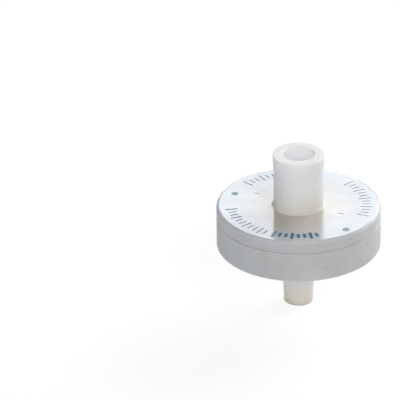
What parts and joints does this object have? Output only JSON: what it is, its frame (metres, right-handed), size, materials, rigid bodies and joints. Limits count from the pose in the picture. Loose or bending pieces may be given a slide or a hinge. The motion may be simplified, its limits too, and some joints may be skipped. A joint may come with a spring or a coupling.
{
  "type": "syringe filter",
  "caption": "Welded plastic syringe filter: luer socket inlet, flat round membrane housing and luer tip outlet.",
  "frame": {"origin": "centre of the outlet tip's end face", "axes": "+Z along the flow axis, towards the inlet socket"},
  "size_m": [0.022, 0.022, 0.022],
  "materials": {
    "outlet_housing": "translucent natural polypropylene, moulded, satin gloss",
    "inlet_housing": "translucent natural polypropylene, moulded, polished flat face",
    "filter_membrane": "white porous membrane, matt"
  },
  "bodies": {
    "root": {"outlet_housing": "outlet_housing", "inlet_housing": "inlet_housing", "filter_membrane": "filter_membrane"}
  },
  "joints": []
}
